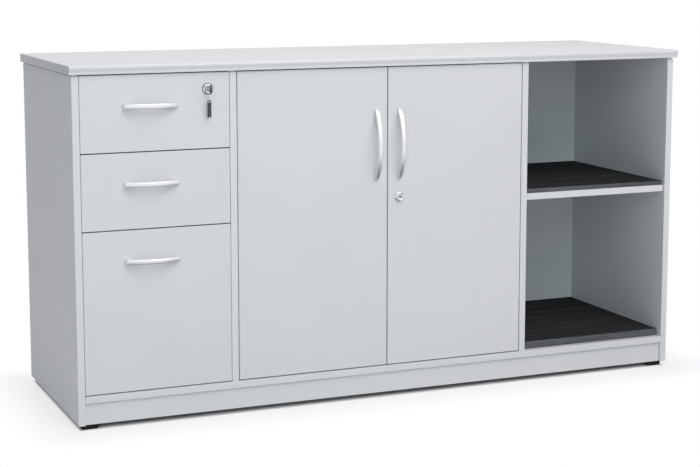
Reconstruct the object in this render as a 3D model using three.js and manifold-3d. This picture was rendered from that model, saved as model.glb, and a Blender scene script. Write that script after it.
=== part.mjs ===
// Office credenza: three drawers, a two-door cupboard and an open bay with a shelf.
// Millimetres, +Z up. X runs along the width, the fronts face -Y, and the feet stand on Z = 0.

import * as THREE from 'three';
import { mergeVertices } from 'three/addons/utils/BufferGeometryUtils.js';
import Module from 'manifold-3d';

// Overall sizes
const width = 1420;                 // across the outer faces of the side panels
const depth = 450;                  // side panels, front edge to rear edge
const height = 750;                 // floor to top surface
const boardThickness = 15;          // sides, partitions, bottom, shelves and plinth
const edgeRadius = 0.8;             // softened edges of every board
const seat = 0.3;                   // gap left between pieces that touch

// Top, base and back
const topThickness = 18;
const topSideOverhang = 6;
const topFrontOverhang = 10.5;
const topEdgeRadius = 5;
const shadowJointHeight = 3;        // step in the uprights under the top, where their edges show
const shadowJointDepth = 3;
const footHeight = 10;
const footLength = 40;              // along the width, at the top of the foot
const footBreadth = 16;
const footTaper = 3.5;              // slant of each end
const footRounding = 1;
const footSideInset = 26.5;         // foot centre from the outer faces of the sides
const footEndInset = 17.5;          // foot centre from the front and rear edges
const plinthHeight = 46;
const plinthRecess = 6;
const backThickness = 15;
const backInset = 22;               // rear face of the back, in from the rear edges

// Division of the front, from the left
const drawerBayWidth = 318;         // clear width, and the open bay takes what is left
const cupboardWidth = 675;
const leftDoorWidth = 341;
const shallowFrontHeight = 157;     // the two upper drawers, and the file drawer takes what is left
const frontThickness = 15;          // doors and drawer fronts
const reveal = 2.4;                 // gap round the doors, and over and under the drawer fronts
const drawerSideReveal = 1.5;       // gap at each end of a drawer front

// Shelves
const lowerBayHeight = 347;         // clear height under the open shelf
const shelfSetback = 8;
const upperLinerThickness = 10;
const upperLinerSetback = 9;
const lowerLinerThickness = 16;
const lowerLinerSetback = 15;
const linerSideGap = 2.5;
const cupboardShelfHeight = 320;    // clear height under the shelf behind the doors
const cupboardShelfSetback = 25;    // behind the doors

// Drawer boxes and runners
const drawerRearSpace = 12.7;       // behind the box and its runners
const boxLift = 14;                 // underside of the box above the lower edge of its front
const shallowSideDrop = 43;         // box sides below the upper edge of the front
const deepSideDrop = 55;
const sideWall = 2;
const runnerSpace = 13;             // between the box wall and the bay wall
const lipWidth = 8;                 // flange under the drawer bottom
const lipThickness = 1.5;
const drawerBottomThickness = 8;
const drawerBackThickness = 12;
const tongueDrop = 12;              // tongue of the box wall above the box underside
const tongueHeight = 10;
const channelWall = 1.6;
const runnerClearance = 0.4;        // between tongue and channel
const runnerSetback = 3;            // channel behind the drawer front

// Bow handles
const handleBand = 10;
const handleGrip = 7;               // thickness of the bow at its middle
const handleFoot = 13;              // length of each foot along the bow
const handleRounding = 2.2;
const drawerHandleLength = 119;
const drawerHandleReach = 25;
const drawerHandleKnuckle = 8;      // straight rise before the bow
const drawerHandleDrop = 64;        // handle centre under the upper edge of the front
const drawerHandleOffset = -11;     // from the middle of the front
const doorHandleLength = 157;
const doorHandleReach = 28;
const doorHandleKnuckle = 6;
const doorHandleInset = 26;         // handle centre from the meeting edge
const doorHandleDrop = 167;         // handle centre under the upper edge of the door

// Cup hinges
const hingePivotInset = 22;         // pivot from the hinge edge of the door
const hingePivotDepth = 7.5;        // pivot behind the door's front face
const hingeInset = 95;              // hinge centre from the upper and lower edges of the door
const cupRadius = 17.5;
const cupDepth = 12;
const cupWall = 1.6;
const cupFloor = 1;
const cupFlange = 3;
const cupFlangeThickness = 1;
const hingePinRadius = 1.6;
const hingeEyeWall = 1.2;
const hingeArmWidth = 14;
const hingeArmThickness = 2.4;
const hingeArmElbow = 17;           // diagonal run of the arm, along each axis
const hingeArmSetback = 41;         // crank of the arm behind the front face
const hingePlateLength = 42;

// Locks
const lockBodyRadius = 9.5;
const lockBodyLength = 17;
const plugRadius = 6;
const lockBezelLift = 5;
const lockBezelRound = 2;
const drawerLockRadius = 13.5;
const drawerLockDrop = 34;          // below the upper edge of the drawer front
const drawerLockInset = 46;         // from the right edge of the drawer front
const doorLockRadius = 11.5;
const doorLockInset = 27;           // from the meeting edge
const doorLockDrop = 283;           // lock centre under the upper edge of the door
const tailRadius = 3;
const tailHeadRadius = 5;
const tailHeadThickness = 2;
const camThickness = 2.5;
const camHalfWidth = 6;
const drawerCamLength = 24;
const doorCamLength = 42;
const keyBore = 14;                 // depth of the keyway
const doorKeyway = 3;

// Keys
const shankRadius = 1.75;
const neckLength = 9;               // from the lock face to the bow
const bowHalfLength = 6.2;
const bowHalfHeight = 9.5;
const bowThickness = 2;
const bowHoleRadius = 2.4;
const keyLinkHalfWidth = 4.5;       // middle of the wire
const keyLinkLength = 27;
const keyLinkWire = 1;
const keyLinkAzimuth = Math.PI / 4; // the link hangs turned, through both pieces
const spareWidth = 8;
const spareLength = 39;
const spareThickness = 1.6;
const spareHoleRadius = 2.8;
const spareSlack = 0.95;            // top of the spare key's hole above the link
const spareNotch = 5;
const spareGrooveWidth = 1.4;
const spareGrooveDepth = 0.5;
const spareGrooveMargin = 3;

// Faces and levels worked out from the sizes above
const sideX = width / 2;
const frontY = (doorHandleReach + seat - depth) / 2;
const rearY = frontY + depth;
const sideBottomZ = footHeight + seat;
const topUndersideZ = height - topThickness;
const sideTopZ = topUndersideZ - seat;
const bottomUndersideZ = sideBottomZ + plinthHeight;
const bottomTopZ = bottomUndersideZ + boardThickness;
const backFaceY = rearY - backInset - backThickness;
const innerDepthY = backFaceY - seat;
const drawerBayLeftX = -sideX + boardThickness;
const drawerBayRightX = drawerBayLeftX + drawerBayWidth;
const cupboardLeftX = drawerBayRightX + boardThickness;
const cupboardRightX = cupboardLeftX + cupboardWidth;
const openBayLeftX = cupboardRightX + boardThickness;
const openBayRightX = sideX - boardThickness;
const frontTopZ = topUndersideZ - reveal;
const frontBottomZ = bottomTopZ + reveal;
const fileFrontHeight = frontTopZ - frontBottomZ - 2 * (shallowFrontHeight + reveal);
const doorHeight = frontTopZ - frontBottomZ;
const boxLength = backFaceY - frontY - frontThickness - seat - drawerRearSpace;
const rightDoorWidth = cupboardWidth - leftDoorWidth - 3 * reveal;

const roundSides = 24;              // facets of turned pieces
const smallRoundSides = 10;
const bowSegments = 9;
const keySegments = 8;
const roundingSteps = 2;

const finishes = {
  greyBoard: () => finish(0xd2d6d9, 0.55, 0),
  charcoalBoard: () => finish(0x3c3d40, 0.6, 0),
  satinSilver: () => finish(0xe6e8ea, 0.35, 0.5),
  paintedSteel: () => finish(0xc9ccce, 0.45, 0.3),
  hingeSteel: () => finish(0xb4b7ba, 0.3, 0.9),
  chrome: () => finish(0xdfe3e6, 0.08, 1),
  darkKey: () => finish(0x2c3335, 0.35, 0.4),
  blackFoot: () => finish(0x17181a, 0.6, 0),
};

const wasm = await Module();
wasm.setup();

function finish(color, roughness, metalness) {
  return new THREE.MeshStandardMaterial({ color, roughness, metalness });
}

function piece(parent, name, geometry, material, position = [0, 0, 0]) {
  const mesh = new THREE.Mesh(geometry, material);
  mesh.name = name;
  mesh.position.set(...position);
  parent.add(mesh);
  return mesh;
}

function groupAt(parent, x, y, z) {
  const group = new THREE.Group();
  group.position.set(x, y, z);
  parent.add(group);
  return group;
}

// Closed mesh to solid and back, for cuts and joins
function toSolid(geometry) {
  const bare = geometry.clone();
  bare.deleteAttribute('normal');
  bare.deleteAttribute('uv');
  const merged = mergeVertices(bare);
  return new wasm.Manifold(new wasm.Mesh({
    numProp: 3,
    vertProperties: Float32Array.from(merged.attributes.position.array),
    triVerts: Uint32Array.from(merged.index.array),
  }));
}

function toGeometry(solid) {
  const mesh = solid.getMesh();
  const geometry = new THREE.BufferGeometry();
  geometry.setAttribute('position', new THREE.BufferAttribute(Float32Array.from(mesh.vertProperties), 3));
  geometry.setIndex(new THREE.BufferAttribute(Uint32Array.from(mesh.triVerts), 1));
  geometry.computeVertexNormals();
  return geometry;
}

function cut(geometry, ...tools) {
  return toGeometry(tools.reduce((solid, tool) => solid.subtract(toSolid(tool)), toSolid(geometry)));
}

function join(geometry, ...others) {
  return toGeometry(others.reduce((solid, other) => solid.add(toSolid(other)), toSolid(geometry)));
}

// Extrusion of a shape between two levels, with rounded rims
function extrude(shape, low, high, rounding, curveSegments = bowSegments) {
  const geometry = new THREE.ExtrudeGeometry(shape, {
    depth: high - low - 2 * rounding,
    bevelEnabled: rounding > 0,
    bevelThickness: rounding,
    bevelSize: rounding,
    bevelOffset: -rounding,
    bevelSegments: roundingSteps,
    curveSegments,
  });
  geometry.translate(0, 0, low + rounding);
  return geometry;
}

const axisX = new THREE.Vector3(1, 0, 0);
const axisY = new THREE.Vector3(0, 1, 0);
const axisZ = new THREE.Vector3(0, 0, 1);

// Turns a geometry drawn along U, V and W onto three other directions
function lay(geometry, u, v, w) {
  return geometry.applyMatrix4(new THREE.Matrix4().makeBasis(u, v, w));
}

function rectangle(lowU, highU, lowV, highV) {
  const shape = new THREE.Shape();
  shape.moveTo(lowU, lowV);
  shape.lineTo(highU, lowV);
  shape.lineTo(highU, highV);
  shape.lineTo(lowU, highV);
  shape.closePath();
  return shape;
}

// Boards between two corners, thin along one axis, with softened edges round both faces
const boardMakers = {
  x: ([x0, y0, z0], [x1, y1, z1], edge) =>
    lay(extrude(rectangle(y0, y1, z0, z1), x0, x1, edge), axisY, axisZ, axisX),
  y: ([x0, y0, z0], [x1, y1, z1], edge) =>
    lay(extrude(rectangle(z0, z1, x0, x1), y0, y1, edge), axisZ, axisX, axisY),
  z: ([x0, y0, z0], [x1, y1, z1], edge) =>
    extrude(rectangle(x0, x1, y0, y1), z0, z1, edge),
};

function board(parent, name, thinAxis, low, high, material = finishes.greyBoard(), edge = edgeRadius) {
  const middle = low.map((value, axis) => (value + high[axis]) / 2);
  const half = high.map((value, axis) => value - middle[axis]);
  const geometry = boardMakers[thinAxis](half.map((value) => -value), half, edge);
  return piece(parent, name, geometry, material, middle);
}

// Cylinder along Y between two depths, and along Z about the origin
function rodAlongY(radius, lowY, highY, sides = smallRoundSides) {
  const geometry = new THREE.CylinderGeometry(radius, radius, highY - lowY, sides);
  return geometry.translate(0, (lowY + highY) / 2, 0);
}

function rodAlongZ(radius, length) {
  return new THREE.CylinderGeometry(radius, radius, length, smallRoundSides).rotateX(Math.PI / 2);
}

// Turned piece about the Y axis from [radius, y] points, front to rear along its outside
function turned(points, sides = roundSides) {
  return new THREE.LatheGeometry(points.map(([radius, y]) => new THREE.Vector2(radius, y)), sides);
}

// Carcass

// Steps back the upper front edge of an upright, and its upper outer edge on the side given as -1 or 1
function cutShadowJoint(upright, outerSide) {
  upright.geometry.computeBoundingBox();
  const { min, max } = upright.geometry.boundingBox;
  const span = max.y - min.y;
  const front = new THREE.BoxGeometry(span, 2 * shadowJointDepth, 2 * shadowJointHeight)
    .translate(0, min.y, max.z);
  const tools = [front];
  if (outerSide !== 0) {
    tools.push(new THREE.BoxGeometry(2 * shadowJointDepth, 2 * span, 2 * shadowJointHeight)
      .translate(outerSide * max.x, 0, max.z));
  }
  upright.geometry = cut(upright.geometry, ...tools);
}

function buildCarcass(parent) {
  const innerLeftX = -sideX + boardThickness + seat;
  const innerRightX = sideX - boardThickness - seat;
  board(parent, 'top_panel', 'z', [-sideX - topSideOverhang, frontY - topFrontOverhang, topUndersideZ],
    [sideX + topSideOverhang, rearY, height], finishes.greyBoard(), topEdgeRadius);
  const leftSide = board(parent, 'left_side_panel', 'x', [-sideX, frontY, sideBottomZ],
    [-sideX + boardThickness, rearY, sideTopZ]);
  const rightSide = board(parent, 'right_side_panel', 'x', [sideX - boardThickness, frontY, sideBottomZ],
    [sideX, rearY, sideTopZ]);
  cutShadowJoint(leftSide, -1);
  cutShadowJoint(rightSide, 1);
  board(parent, 'bottom_panel', 'z', [innerLeftX, frontY, bottomUndersideZ],
    [innerRightX, innerDepthY, bottomTopZ]);
  board(parent, 'back_panel', 'y', [innerLeftX, backFaceY, sideBottomZ],
    [innerRightX, backFaceY + backThickness, sideTopZ]);
  board(parent, 'front_plinth', 'y', [innerLeftX, frontY + plinthRecess, sideBottomZ],
    [innerRightX, frontY + plinthRecess + boardThickness, bottomUndersideZ - seat]);
  for (const [name, leftX] of [['drawer_partition', drawerBayRightX], ['shelf_partition', cupboardRightX]]) {
    const partition = board(parent, name, 'x', [leftX, frontY, bottomTopZ + seat],
      [leftX + boardThickness, innerDepthY, sideTopZ]);
    cutShadowJoint(partition, 0);
  }
}

function buildShelves(parent) {
  const shelfZ = bottomTopZ + lowerBayHeight;
  const shelfTopZ = shelfZ + boardThickness;
  const linerLeftX = openBayLeftX + linerSideGap;
  const linerRightX = openBayRightX - linerSideGap;
  const upperLinerZ = shelfTopZ + seat;
  const lowerLinerZ = bottomTopZ + seat;
  board(parent, 'open_shelf', 'z', [openBayLeftX + seat, frontY + shelfSetback, shelfZ],
    [openBayRightX - seat, innerDepthY, shelfTopZ]);
  board(parent, 'upper_shelf_liner', 'z', [linerLeftX, frontY + upperLinerSetback, upperLinerZ],
    [linerRightX, innerDepthY, upperLinerZ + upperLinerThickness], finishes.charcoalBoard());
  board(parent, 'lower_shelf_liner', 'z', [linerLeftX, frontY + lowerLinerSetback, lowerLinerZ],
    [linerRightX, innerDepthY, lowerLinerZ + lowerLinerThickness], finishes.charcoalBoard());
  const cupboardShelfZ = bottomTopZ + cupboardShelfHeight;
  board(parent, 'cupboard_shelf', 'z',
    [cupboardLeftX + seat, frontY + frontThickness + cupboardShelfSetback, cupboardShelfZ],
    [cupboardRightX - seat, innerDepthY, cupboardShelfZ + boardThickness]);
}

function buildFeet(parent) {
  const half = footLength / 2;
  const profile = new THREE.Shape();
  profile.moveTo(footTaper - half, 0);
  profile.lineTo(half - footTaper, 0);
  profile.lineTo(half, footHeight);
  profile.lineTo(-half, footHeight);
  profile.closePath();
  const sides = { left: -sideX + footSideInset, right: sideX - footSideInset };
  const ends = { front: frontY + footEndInset, rear: rearY - footEndInset };
  for (const [end, y] of Object.entries(ends)) {
    for (const [side, x] of Object.entries(sides)) {
      const geometry = lay(extrude(profile, -footBreadth / 2, footBreadth / 2, footRounding), axisX, axisZ,
        axisY.clone().negate());
      piece(parent, `foot_${end}_${side}`, geometry, finishes.blackFoot(), [x, y, 0]);
    }
  }
}

// Handles

// Adds an arc over a chord to the outline, rising by a given height above its ends
function arcOver(shape, fromU, toU, baseV, rise) {
  const half = Math.abs(toU - fromU) / 2;
  const radius = (half * half + rise * rise) / (2 * rise);
  const centreV = baseV + rise - radius;
  const startAngle = Math.atan2(baseV - centreV, fromU);
  const endAngle = Math.atan2(baseV - centreV, toU);
  shape.absarc(0, centreV, radius, startAngle, endAngle, fromU < toU);
}

// Bow drawn along U with its feet on V = 0, as wide as the band about W = 0
function bowHandle(length, reach, knuckle) {
  const half = length / 2;
  const innerHalf = half - handleFoot;
  const shape = new THREE.Shape();
  shape.moveTo(-half, 0);
  shape.lineTo(-half, knuckle);
  arcOver(shape, -half, half, knuckle, reach - knuckle);
  shape.lineTo(half, 0);
  shape.lineTo(innerHalf, 0);
  arcOver(shape, innerHalf, -innerHalf, 0, reach - handleGrip);
  shape.closePath();
  return extrude(shape, -handleBand / 2, handleBand / 2, handleRounding);
}

// Drawers: each group has its origin at the middle of the lower edge of the front's face

function wallProfile(sideHeight) {
  const tongueReach = runnerSpace - seat - channelWall - runnerClearance;
  const tongueLow = tongueDrop;
  const tongueHigh = tongueDrop + tongueHeight;
  const shape = new THREE.Shape();
  shape.moveTo(0, 0);
  shape.lineTo(lipWidth + sideWall, 0);
  shape.lineTo(lipWidth + sideWall, lipThickness);
  shape.lineTo(sideWall, lipThickness);
  shape.lineTo(sideWall, sideHeight);
  shape.lineTo(0, sideHeight);
  shape.lineTo(0, tongueHigh);
  shape.lineTo(-tongueReach, tongueHigh);
  shape.lineTo(-tongueReach, tongueLow);
  shape.lineTo(0, tongueLow);
  shape.closePath();
  return shape;
}

function channelProfile() {
  const flange = runnerSpace - seat - runnerClearance;
  const inside = tongueHeight + 2 * runnerClearance;
  const shape = new THREE.Shape();
  shape.moveTo(0, 0);
  shape.lineTo(flange, 0);
  shape.lineTo(flange, channelWall);
  shape.lineTo(channelWall, channelWall);
  shape.lineTo(channelWall, channelWall + inside);
  shape.lineTo(flange, channelWall + inside);
  shape.lineTo(flange, inside + 2 * channelWall);
  shape.lineTo(0, inside + 2 * channelWall);
  shape.closePath();
  return shape;
}

// A profile drawn in X and Z, run back along Y, mirrored where it belongs on the right
function runBack(shape, lowY, highY, onRight) {
  const geometry = extrude(shape, lowY, highY, 0);
  if (onRight) {
    return lay(geometry, axisX.clone().negate(), axisZ, axisY);
  }
  return lay(geometry, axisX, axisZ, axisY.clone().negate()).translate(0, lowY + highY, 0);
}

function buildDrawer(parent, name, bottomZ, frontHeight, sideDrop, frontCuts = []) {
  const sideHeight = frontHeight - sideDrop - boxLift;
  const bayCentreX = (drawerBayLeftX + drawerBayRightX) / 2;
  const drawer = groupAt(parent, bayCentreX, frontY, bottomZ);
  const halfFront = drawerBayWidth / 2 - drawerSideReveal;
  const halfBay = drawerBayWidth / 2;
  const halfBox = halfBay - runnerSpace;
  const halfInside = halfBox - sideWall - seat;
  const boxFrontY = frontThickness + seat;
  const boxRearY = boxFrontY + boxLength;
  const bottomZLocal = boxLift + lipThickness + seat;
  const backZ = bottomZLocal + drawerBottomThickness + seat;
  const channelZ = boxLift + tongueDrop - runnerClearance - channelWall;
  const runnerY = frontThickness + runnerSetback;

  const front = board(drawer, `${name}_front`, 'y', [-halfFront, 0, 0],
    [halfFront, frontThickness, frontHeight]);
  if (frontCuts.length > 0) {
    const toMesh = front.position.clone().negate();
    const tools = frontCuts.map((tool) => tool.translate(toMesh.x, toMesh.y, toMesh.z));
    front.geometry = cut(front.geometry, ...tools);
  }
  piece(drawer, `${name}_handle`,
    lay(bowHandle(drawerHandleLength, drawerHandleReach, drawerHandleKnuckle), axisX, axisY.clone().negate(),
      axisZ.clone().negate()),
    finishes.satinSilver(), [drawerHandleOffset, -seat, frontHeight - drawerHandleDrop]);
  for (const [side, sign] of [['left', -1], ['right', 1]]) {
    const onRight = sign > 0;
    piece(drawer, `${name}_${side}_side`, runBack(wallProfile(sideHeight), boxFrontY, boxRearY, onRight),
      finishes.paintedSteel(), [sign * halfBox, 0, boxLift]);
    piece(drawer, `${name}_${side}_runner`,
      runBack(channelProfile(), runnerY, boxRearY, onRight),
      finishes.paintedSteel(), [sign * (halfBay - seat), 0, channelZ]);
  }
  board(drawer, `${name}_bottom`, 'z', [-halfInside, boxFrontY, bottomZLocal],
    [halfInside, boxRearY, bottomZLocal + drawerBottomThickness]);
  board(drawer, `${name}_back`, 'y', [-halfInside, boxRearY - drawerBackThickness, backZ],
    [halfInside, boxRearY, boxLift + sideHeight]);
  return drawer;
}

// Locks: each group has its origin on the lock's axis, at the front face

function lockBarrel(bezelRadius) {
  const bore = plugRadius + seat;
  return turned([[bore, -lockBezelLift], [bezelRadius - lockBezelRound, -lockBezelLift],
    [bezelRadius, -lockBezelLift + lockBezelRound], [bezelRadius, -seat], [lockBodyRadius, -seat],
    [lockBodyRadius, lockBodyLength], [bore, lockBodyLength], [bore, -lockBezelLift]]);
}

function lockBore() {
  return rodAlongY(lockBodyRadius + seat, -frontThickness, 2 * frontThickness, roundSides);
}

function camShape(length) {
  const shape = new THREE.Shape();
  shape.absarc(0, 0, camHalfWidth, Math.PI / 2, Math.PI * 3 / 2, false);
  shape.lineTo(length, -camHalfWidth);
  shape.lineTo(length, camHalfWidth);
  shape.closePath();
  return shape;
}

function buildDrawerLock(drawer, x, z) {
  const lock = groupAt(drawer, x, 0, z);
  const plugFrontY = -lockBezelLift;
  const camY = lockBodyLength + seat;
  const headY = camY + camThickness + seat;
  const keyRearY = plugFrontY + keyBore - seat;
  const boreRadius = shankRadius + seat;
  const bowFrontY = plugFrontY - neckLength - 2 * bowHalfLength;
  const neckMiddleY = plugFrontY - neckLength / 2;

  piece(lock, 'drawer_lock_barrel', lockBarrel(drawerLockRadius), finishes.chrome());
  piece(lock, 'drawer_lock_plug', turned([[0, plugFrontY + keyBore], [boreRadius, plugFrontY + keyBore],
    [boreRadius, plugFrontY], [plugRadius, plugFrontY], [plugRadius, lockBodyLength],
    [tailRadius, lockBodyLength], [tailRadius, headY], [tailHeadRadius, headY],
    [tailHeadRadius, headY + tailHeadThickness], [0, headY + tailHeadThickness]]), finishes.chrome());

  const cam = camShape(drawerCamLength);
  const camHole = new THREE.Path();
  camHole.absarc(0, 0, tailRadius + seat, 0, 2 * Math.PI, false);
  cam.holes.push(camHole);
  const camBlank = extrude(cam, camY, camY + camThickness, 0, keySegments);
  piece(lock, 'drawer_lock_cam', lay(camBlank, axisX.clone().negate(), axisZ, axisY), finishes.hingeSteel());

  const bow = new THREE.Shape();
  bow.absellipse(0, 0, bowHalfLength, bowHalfHeight, 0, 2 * Math.PI, false, 0);
  const bowHole = new THREE.Path();
  bowHole.absarc(0, 0, bowHoleRadius, 0, 2 * Math.PI, false);
  bow.holes.push(bowHole);
  const bowPlate = lay(extrude(bow, -bowThickness / 2, bowThickness / 2, 0, keySegments), axisY, axisZ, axisX)
    .translate(0, bowFrontY + bowHalfLength, 0);
  const bowRearY = bowFrontY + 2 * bowHalfLength;
  const shank = rodAlongY(shankRadius, bowRearY - shankRadius, keyRearY);
  piece(lock, 'drawer_key', join(bowPlate, shank), finishes.chrome());

  buildHangingKey(groupAt(lock, 0, neckMiddleY, 0));
}

// Wire link over the neck of the key in the lock, with the spare key hanging in it
function buildHangingKey(parent) {
  const wireHalf = keyLinkWire / 2;
  const linkTopZ = shankRadius + seat + wireHalf;
  const linkBottomZ = linkTopZ - keyLinkLength;
  const outline = (offset) => {
    const radius = keyLinkHalfWidth + offset;
    const path = offset > 0 ? new THREE.Shape() : new THREE.Path();
    path.absarc(0, linkTopZ - keyLinkHalfWidth, radius, 0, Math.PI, false);
    path.absarc(0, linkBottomZ + keyLinkHalfWidth, radius, Math.PI, 2 * Math.PI, false);
    path.closePath();
    return path;
  };
  const link = outline(wireHalf);
  link.holes.push(outline(-wireHalf));
  const across = new THREE.Vector3(Math.cos(keyLinkAzimuth), Math.sin(keyLinkAzimuth), 0);
  const through = new THREE.Vector3().crossVectors(across, axisZ);
  const wire = extrude(link, -wireHalf, wireHalf, 0, keySegments);
  piece(parent, 'key_ring', lay(wire, across, axisZ, through), finishes.chrome());

  const holeZ = linkBottomZ + wireHalf + spareSlack - spareHoleRadius;
  const half = spareWidth / 2;
  const lowestZ = holeZ + half - spareLength;
  const spare = new THREE.Shape();
  spare.absarc(0, holeZ, half, 0, Math.PI, false);
  spare.lineTo(-half, lowestZ);
  spare.lineTo(0, lowestZ + spareNotch);
  spare.lineTo(half, lowestZ);
  spare.closePath();
  const loop = new THREE.Path();
  loop.absarc(0, holeZ, spareHoleRadius, 0, 2 * Math.PI, false);
  spare.holes.push(loop);
  const blank = extrude(spare, -spareThickness / 2, spareThickness / 2, 0, keySegments);
  const blade = lay(blank, axisX, axisZ, axisY.clone().negate());
  const grooveTopZ = holeZ - half - spareGrooveMargin;
  const grooveBottomZ = lowestZ + spareNotch + spareGrooveMargin;
  const groove = new THREE.BoxGeometry(spareGrooveWidth, 2 * spareGrooveDepth, grooveTopZ - grooveBottomZ)
    .translate(0, -spareThickness / 2, (grooveTopZ + grooveBottomZ) / 2);
  piece(parent, 'spare_key', cut(blade, groove), finishes.darkKey());
}

function buildDoorLock(door, x, z) {
  const lock = groupAt(door, x, 0, z);
  const camY = lockBodyLength + seat;
  const plug = turned([[0, -lockBezelLift], [plugRadius, -lockBezelLift], [plugRadius, camY + camThickness],
    [0, camY + camThickness]]);
  const camBlank = extrude(camShape(doorCamLength), camY, camY + camThickness, 0, keySegments);
  const cam = lay(camBlank, axisZ.clone().negate(), axisX.clone().negate(), axisY);
  const keyway = rodAlongY(doorKeyway, -lockBezelLift - keyBore, -lockBezelLift + keyBore);
  piece(lock, 'door_lock_barrel', lockBarrel(doorLockRadius), finishes.chrome());
  piece(lock, 'door_lock_plug', cut(join(plug, cam), keyway), finishes.chrome());
}

// Doors: each group has its origin at the lower hinge corner of the door's face, and inward is the
// direction from the hinge edge to the meeting edge

function hingeCup() {
  const floorY = frontThickness - cupDepth + seat;
  const rimY = frontThickness + seat;
  const outer = cupRadius - seat;
  const inner = outer - cupWall;
  const cup = turned([[0, floorY], [outer, floorY], [outer, rimY], [outer + cupFlange, rimY],
    [outer + cupFlange, rimY + cupFlangeThickness], [inner, rimY + cupFlangeThickness],
    [inner, floorY + cupFloor], [0, floorY + cupFloor]]);
  const pin = rodAlongZ(hingePinRadius, 2 * inner + cupWall).translate(0, hingePivotDepth, 0);
  return join(cup, pin);
}

// Arm in plan, drawn for a hinge edge at X = 0 with the bay wall beyond it at -reveal
function hingeArm(inward) {
  const half = hingeArmThickness / 2;
  const slant = half * Math.SQRT2;
  const eyeRadius = hingePinRadius + seat + hingeEyeWall;
  const elbowX = hingePivotInset + hingeArmElbow;
  const elbowY = hingePivotDepth + hingeArmElbow;
  const plateX = -reveal + seat;
  const plan = new THREE.Shape();
  plan.moveTo(hingePivotInset, hingePivotDepth + slant);
  plan.lineTo(elbowX - half, elbowY - half + slant);
  plan.lineTo(elbowX - half, hingeArmSetback);
  plan.lineTo(plateX, hingeArmSetback);
  plan.lineTo(plateX, hingeArmSetback + hingePlateLength);
  plan.lineTo(plateX + hingeArmThickness, hingeArmSetback + hingePlateLength);
  plan.lineTo(plateX + hingeArmThickness, hingeArmSetback + hingeArmThickness);
  plan.lineTo(elbowX + half, hingeArmSetback + hingeArmThickness);
  plan.lineTo(elbowX + half, elbowY + half - slant);
  plan.lineTo(hingePivotInset + slant, hingePivotDepth);
  plan.closePath();
  const strap = extrude(plan, -hingeArmWidth / 2, hingeArmWidth / 2, 0);
  const eye = rodAlongZ(eyeRadius, hingeArmWidth);
  const hole = rodAlongZ(hingePinRadius + seat, 2 * hingeArmWidth);
  for (const rod of [eye, hole]) {
    rod.translate(hingePivotInset, hingePivotDepth, 0);
  }
  const arm = cut(join(strap, eye), hole);
  return inward > 0 ? arm : lay(arm, axisX.clone().negate(), axisY, axisZ.clone().negate());
}

function buildDoor(parent, side, hingeX, inward, doorWidth, locked) {
  const door = groupAt(parent, hingeX, frontY, frontBottomZ);
  const meetingX = inward * doorWidth;
  const handleZ = doorHeight - doorHandleDrop;
  const lockX = meetingX - inward * doorLockInset;
  const lockZ = doorHeight - doorLockDrop;
  const hingeZ = { upper: doorHeight - hingeInset, lower: hingeInset };
  const slab = board(door, `${side}_door`, 'y', [Math.min(0, meetingX), 0, 0],
    [Math.max(0, meetingX), frontThickness, doorHeight]);
  const cupX = inward * hingePivotInset;
  const cupBoreFloorY = frontThickness - cupDepth;
  const tools = Object.values(hingeZ).map((z) =>
    rodAlongY(cupRadius, cupBoreFloorY, frontThickness + cupDepth, roundSides).translate(cupX, 0, z));
  if (locked) {
    tools.push(lockBore().translate(lockX, 0, lockZ));
  }
  const toMesh = slab.position.clone().negate();
  slab.geometry = cut(slab.geometry, ...tools.map((tool) => tool.translate(toMesh.x, toMesh.y, toMesh.z)));
  piece(door, `${side}_door_handle`,
    lay(bowHandle(doorHandleLength, doorHandleReach, doorHandleKnuckle), axisZ, axisY.clone().negate(),
      axisX),
    finishes.satinSilver(), [meetingX - inward * doorHandleInset, -seat, handleZ]);
  for (const [level, z] of Object.entries(hingeZ)) {
    piece(door, `${side}_${level}_hinge_cup`, hingeCup(), finishes.hingeSteel(), [cupX, 0, z]);
    piece(door, `${side}_${level}_hinge_arm`, hingeArm(inward), finishes.hingeSteel(), [0, 0, z]);
  }
  if (locked) {
    buildDoorLock(door, lockX, lockZ);
  }
}

const credenza = new THREE.Group();
credenza.name = 'office_credenza';
buildCarcass(credenza);
buildShelves(credenza);
buildFeet(credenza);

const drawerLockX = drawerBayWidth / 2 - drawerSideReveal - drawerLockInset;
const drawerLockZ = shallowFrontHeight - drawerLockDrop;
const middleFrontZ = frontBottomZ + fileFrontHeight + reveal;
const topFrontZ = middleFrontZ + shallowFrontHeight + reveal;
buildDrawer(credenza, 'file_drawer', frontBottomZ, fileFrontHeight, deepSideDrop);
buildDrawer(credenza, 'middle_drawer', middleFrontZ, shallowFrontHeight, shallowSideDrop);
const topDrawer = buildDrawer(credenza, 'top_drawer', topFrontZ, shallowFrontHeight, shallowSideDrop,
  [lockBore().translate(drawerLockX, 0, drawerLockZ)]);
buildDrawerLock(topDrawer, drawerLockX, drawerLockZ);

buildDoor(credenza, 'left', cupboardLeftX + reveal, 1, leftDoorWidth, false);
buildDoor(credenza, 'right', cupboardRightX - reveal, -1, rightDoorWidth, true);

export default credenza;
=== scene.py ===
"""Office credenza: finishes, fittings and a studio, laid over the packed frame.

Metres, +Z up. X runs along the width, the fronts face -Y, and the feet stand on Z = 0.
"""

import math

import bmesh
import bpy
from bpy.props import FloatProperty, FloatVectorProperty, PointerProperty
from mathutils import Matrix, Vector


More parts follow.
